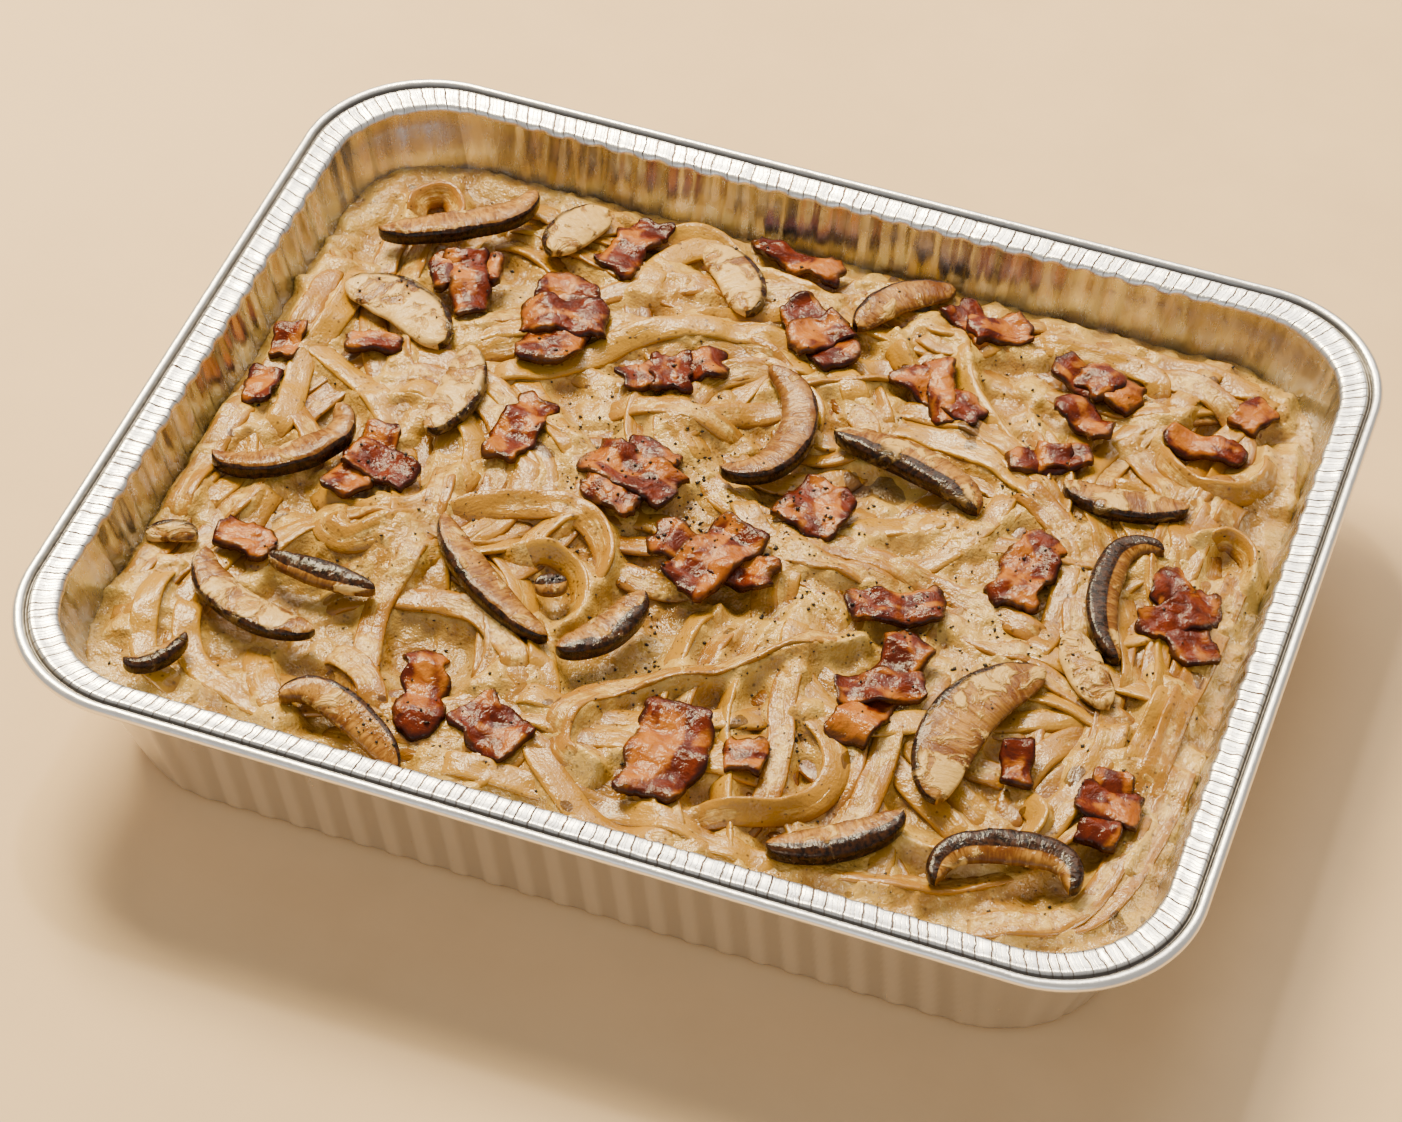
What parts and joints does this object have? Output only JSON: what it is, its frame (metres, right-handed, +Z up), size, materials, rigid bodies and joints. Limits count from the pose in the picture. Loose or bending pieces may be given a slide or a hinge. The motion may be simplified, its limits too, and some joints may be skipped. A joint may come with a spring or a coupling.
{
  "type": "foil tray meal",
  "caption": "Rectangular aluminium foil tray with a fluted wall and rolled rim, filled with fettuccine in cream sauce under sliced mushrooms and bacon.",
  "frame": {"origin": "centre of the tray's flat base, on the surface it stands on", "axes": "+X along the tray's long sides, +Y along its short sides, +Z up"},
  "size_m": [0.324, 0.264, 0.056],
  "materials": {
    "foil": "bright pressed foil, pleated rim",
    "pasta": "fettuccine coated in glossy cream sauce",
    "mushroom": "moist tan flesh with dark brown skin",
    "bacon": "fried lean and fat with crisp dark edges"
  },
  "bodies": {
    "root": {"foil_tray": "foil", "fettuccine_in_cream_sauce": "pasta", "mushroom_slice_01": "mushroom", "mushroom_slice_02": "mushroom", "mushroom_slice_03": "mushroom", "mushroom_slice_04": "mushroom", "mushroom_slice_05": "mushroom", "mushroom_slice_06": "mushroom", "mushroom_slice_07": "mushroom", "mushroom_slice_08": "mushroom", "mushroom_slice_09": "mushroom", "mushroom_slice_10": "mushroom", "mushroom_slice_11": "mushroom", "mushroom_slice_12": "mushroom", "mushroom_slice_13": "mushroom", "mushroom_slice_14": "mushroom", "mushroom_slice_15": "mushroom", "mushroom_slice_16": "mushroom", "mushroom_slice_17": "mushroom", "mushroom_slice_18": "mushroom", "mushroom_slice_19": "mushroom", "mushroom_slice_20": "mushroom", "mushroom_slice_21": "mushroom", "mushroom_slice_22": "mushroom", "mushroom_slice_23": "mushroom", "bacon_piece_01": "bacon", "bacon_piece_02": "bacon", "bacon_piece_03": "bacon", "bacon_piece_04": "bacon", "bacon_piece_05": "bacon", "bacon_piece_06": "bacon", "bacon_piece_07": "bacon", "bacon_piece_08": "bacon", "bacon_piece_09": "bacon", "bacon_piece_10": "bacon", "bacon_piece_11": "bacon", "bacon_piece_12": "bacon", "bacon_piece_13": "bacon", "bacon_piece_14": "bacon", "bacon_piece_15": "bacon", "bacon_piece_16": "bacon", "bacon_piece_17": "bacon", "bacon_piece_18": "bacon", "bacon_piece_19": "bacon", "bacon_piece_20": "bacon", "bacon_piece_21": "bacon", "bacon_piece_22": "bacon", "bacon_piece_23": "bacon", "bacon_piece_24": "bacon", "bacon_piece_25": "bacon", "bacon_piece_26": "bacon", "bacon_piece_27": "bacon", "bacon_piece_28": "bacon", "bacon_piece_29": "bacon", "bacon_piece_30": "bacon", "bacon_piece_31": "bacon", "bacon_piece_32": "bacon"}
  },
  "joints": []
}
